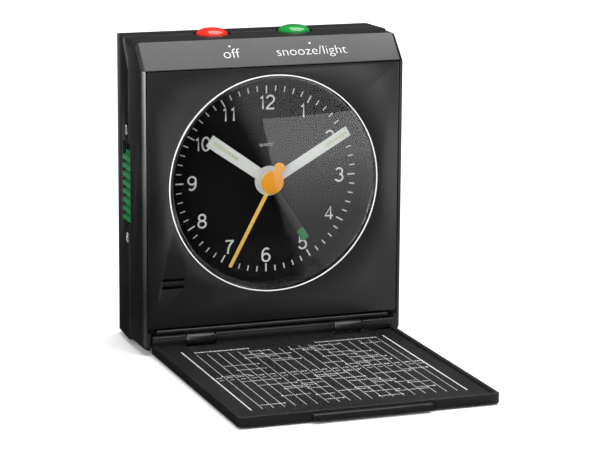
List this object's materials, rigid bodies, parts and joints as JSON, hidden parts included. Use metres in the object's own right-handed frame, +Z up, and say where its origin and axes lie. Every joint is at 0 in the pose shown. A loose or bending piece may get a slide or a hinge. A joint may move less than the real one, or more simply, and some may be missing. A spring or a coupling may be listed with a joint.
{
  "type": "folding travel alarm clock",
  "caption": "Folding quartz travel alarm clock: square black case, round analogue dial, off and snooze buttons on top, side alarm slider and flip-down lid.",
  "frame": {"origin": "on the table, under the middle of the clock with its lid open flat (centre of the footprint)", "axes": "+Z up, -Y out of the face and along the open lid, +X to the right as the dial is read"},
  "size_m": [0.066, 0.0918, 0.0759],
  "materials": {
    "case_plastic": "satin moulded black",
    "panel_plastic": "fine matt black",
    "lid_plastic": "fine matt black",
    "ring_plastic": "gloss black",
    "lens_clear": "polished clear acrylic",
    "dial_black": "matt black with light grey print",
    "hand_white": "matt white paint",
    "hand_yellow": "matt yellow paint",
    "hand_black": "matt black paint with green tip",
    "button_red": "gloss red",
    "button_green": "gloss green",
    "slider_green": "satin green",
    "knob_plastic": "fluted black",
    "foot_rubber": "matt",
    "steel": "plain",
    "brass": "plain",
    "gear_plastic": "natural acetal",
    "movement_plastic": "dark grey moulded",
    "board_green": "green resist",
    "copper_wire": "enamelled copper",
    "cell_jacket": "printed metal jacket"
  },
  "bodies": {
    "case": {"front_frame": "case_plastic", "rear_case": "case_plastic", "face_panel": "panel_plastic", "dial_ring": "ring_plastic", "lens": "lens_clear", "dial": "dial_black", "off_switch": "movement_plastic", "snooze_switch": "movement_plastic", "alarm_switch": "movement_plastic", "sounder": "movement_plastic", "circuit_board": "board_green", "coil": "copper_wire", "stator": "steel", "hinge_pin": "steel", "battery_cell": "cell_jacket", "battery_contact_negative": "steel", "battery_contact_positive": "steel", "dial_lamp": "lens_clear", "movement_front_plate": "gear_plastic", "movement_middle_plate": "gear_plastic", "movement_back_cover": "movement_plastic", "movement_screw_upper": "steel", "movement_screw_lower": "steel", "foot_front_left": "foot_rubber", "foot_front_right": "foot_rubber", "foot_rear_left": "foot_rubber", "foot_rear_right": "foot_rubber", "case_screw_lower_left": "steel", "case_screw_lower_right": "steel", "case_screw_upper_left": "steel", "case_screw_upper_right": "steel"},
    "lid": {"lid": "lid_plastic"},
    "off_button": {"off_button": "button_red"},
    "snooze_button": {"snooze_button": "button_green"},
    "alarm_slider": {"alarm_slider": "slider_green"},
    "battery_door": {"battery_door": "case_plastic"},
    "minute_hand": {"cannon_pinion": "brass", "minute_hand": "hand_white"},
    "hour_hand": {"hour_wheel": "gear_plastic", "hour_hand": "hand_white"},
    "motion_wheel": {"motion_wheel": "gear_plastic"},
    "time_set_knob": {"time_set_knob": "knob_plastic", "time_set_arbor": "gear_plastic"},
    "alarm_hand": {"alarm_wheel": "gear_plastic", "alarm_hand": "hand_black"},
    "alarm_set_knob": {"alarm_set_knob": "knob_plastic", "alarm_set_arbor": "gear_plastic"},
    "second_hand": {"seconds_wheel": "gear_plastic", "second_hand": "hand_yellow"},
    "intermediate_wheel": {"intermediate_wheel": "gear_plastic"},
    "rotor": {"rotor": "steel"},
    "third_wheel": {"third_wheel": "gear_plastic"},
    "centre_wheel": {"centre_wheel": "brass"}
  },
  "joints": [
    {"name": "lid_hinge", "type": "hinge", "parent": "case", "child": "lid", "pos_m": [0, 0.0204, 0.0035], "axis": [1, 0, 0], "range_deg": [-90, 0]},
    {"name": "off_button_press", "type": "slide", "parent": "case", "child": "off_button", "axis": [0, 0, -1], "range_m": [0, 0.001], "stiffness_N_per_m": 400},
    {"name": "snooze_button_press", "type": "slide", "parent": "case", "child": "snooze_button", "axis": [0, 0, -1], "range_m": [0, 0.001], "stiffness_N_per_m": 400},
    {"name": "alarm_slider_slide", "type": "slide", "parent": "case", "child": "alarm_slider", "axis": [0, 0, 1], "range_m": [0, 0.0022]},
    {"name": "battery_door_hinge", "type": "hinge", "parent": "case", "child": "battery_door", "pos_m": [0, 0.0459, 0.0053], "axis": [-1, 0, 0], "range_deg": [0, 90]},
    {"name": "minute_hand_spin", "type": "hinge", "parent": "case", "child": "minute_hand", "pos_m": [0, 0.0204, 0.04], "axis": [0, 1, 0], "continuous": true},
    {"name": "hour_hand_spin", "type": "hinge", "parent": "case", "child": "hour_hand", "pos_m": [0, 0.0204, 0.04], "axis": [0, 1, 0], "continuous": true},
    {"name": "motion_wheel_spin", "type": "hinge", "parent": "case", "child": "motion_wheel", "pos_m": [0.006, 0.0204, 0.04], "axis": [0, 1, 0], "continuous": true},
    {"name": "time_set_knob_spin", "type": "hinge", "parent": "case", "child": "time_set_knob", "pos_m": [0.012, 0.0204, 0.04], "axis": [0, 1, 0], "continuous": true},
    {"name": "alarm_hand_spin", "type": "hinge", "parent": "case", "child": "alarm_hand", "pos_m": [0, 0.0204, 0.04], "axis": [0, 1, 0], "continuous": true},
    {"name": "alarm_set_knob_spin", "type": "hinge", "parent": "case", "child": "alarm_set_knob", "pos_m": [-0.012, 0.0204, 0.04], "axis": [0, 1, 0], "continuous": true},
    {"name": "second_hand_spin", "type": "hinge", "parent": "case", "child": "second_hand", "pos_m": [0, 0.0204, 0.04], "axis": [0, 1, 0], "continuous": true},
    {"name": "intermediate_wheel_spin", "type": "hinge", "parent": "case", "child": "intermediate_wheel", "pos_m": [0.00705, 0.0204, 0.03507], "axis": [0, 1, 0], "continuous": true},
    {"name": "rotor_spin", "type": "hinge", "parent": "case", "child": "rotor", "pos_m": [0.00886, 0.0204, 0.02831], "axis": [0, 1, 0], "continuous": true},
    {"name": "third_wheel_spin", "type": "hinge", "parent": "case", "child": "third_wheel", "pos_m": [-0.00425, 0.0204, 0.04736], "axis": [0, 1, 0], "continuous": true},
    {"name": "centre_wheel_spin", "type": "hinge", "parent": "case", "child": "centre_wheel", "pos_m": [0, 0.0204, 0.04], "axis": [0, 1, 0], "continuous": true}
  ],
  "couplings": [
    {"joint": "motion_wheel_spin", "follows": "minute_hand_spin", "ratio": -0.33333},
    {"joint": "hour_hand_spin", "follows": "minute_hand_spin", "ratio": 0.083333},
    {"joint": "time_set_knob_spin", "follows": "minute_hand_spin", "ratio": 1},
    {"joint": "alarm_set_knob_spin", "follows": "alarm_hand_spin", "ratio": -0.66667},
    {"joint": "intermediate_wheel_spin", "follows": "second_hand_spin", "ratio": -5},
    {"joint": "rotor_spin", "follows": "second_hand_spin", "ratio": 30},
    {"joint": "third_wheel_spin", "follows": "second_hand_spin", "ratio": -0.13333},
    {"joint": "centre_wheel_spin", "follows": "second_hand_spin", "ratio": 0.016667}
  ]
}
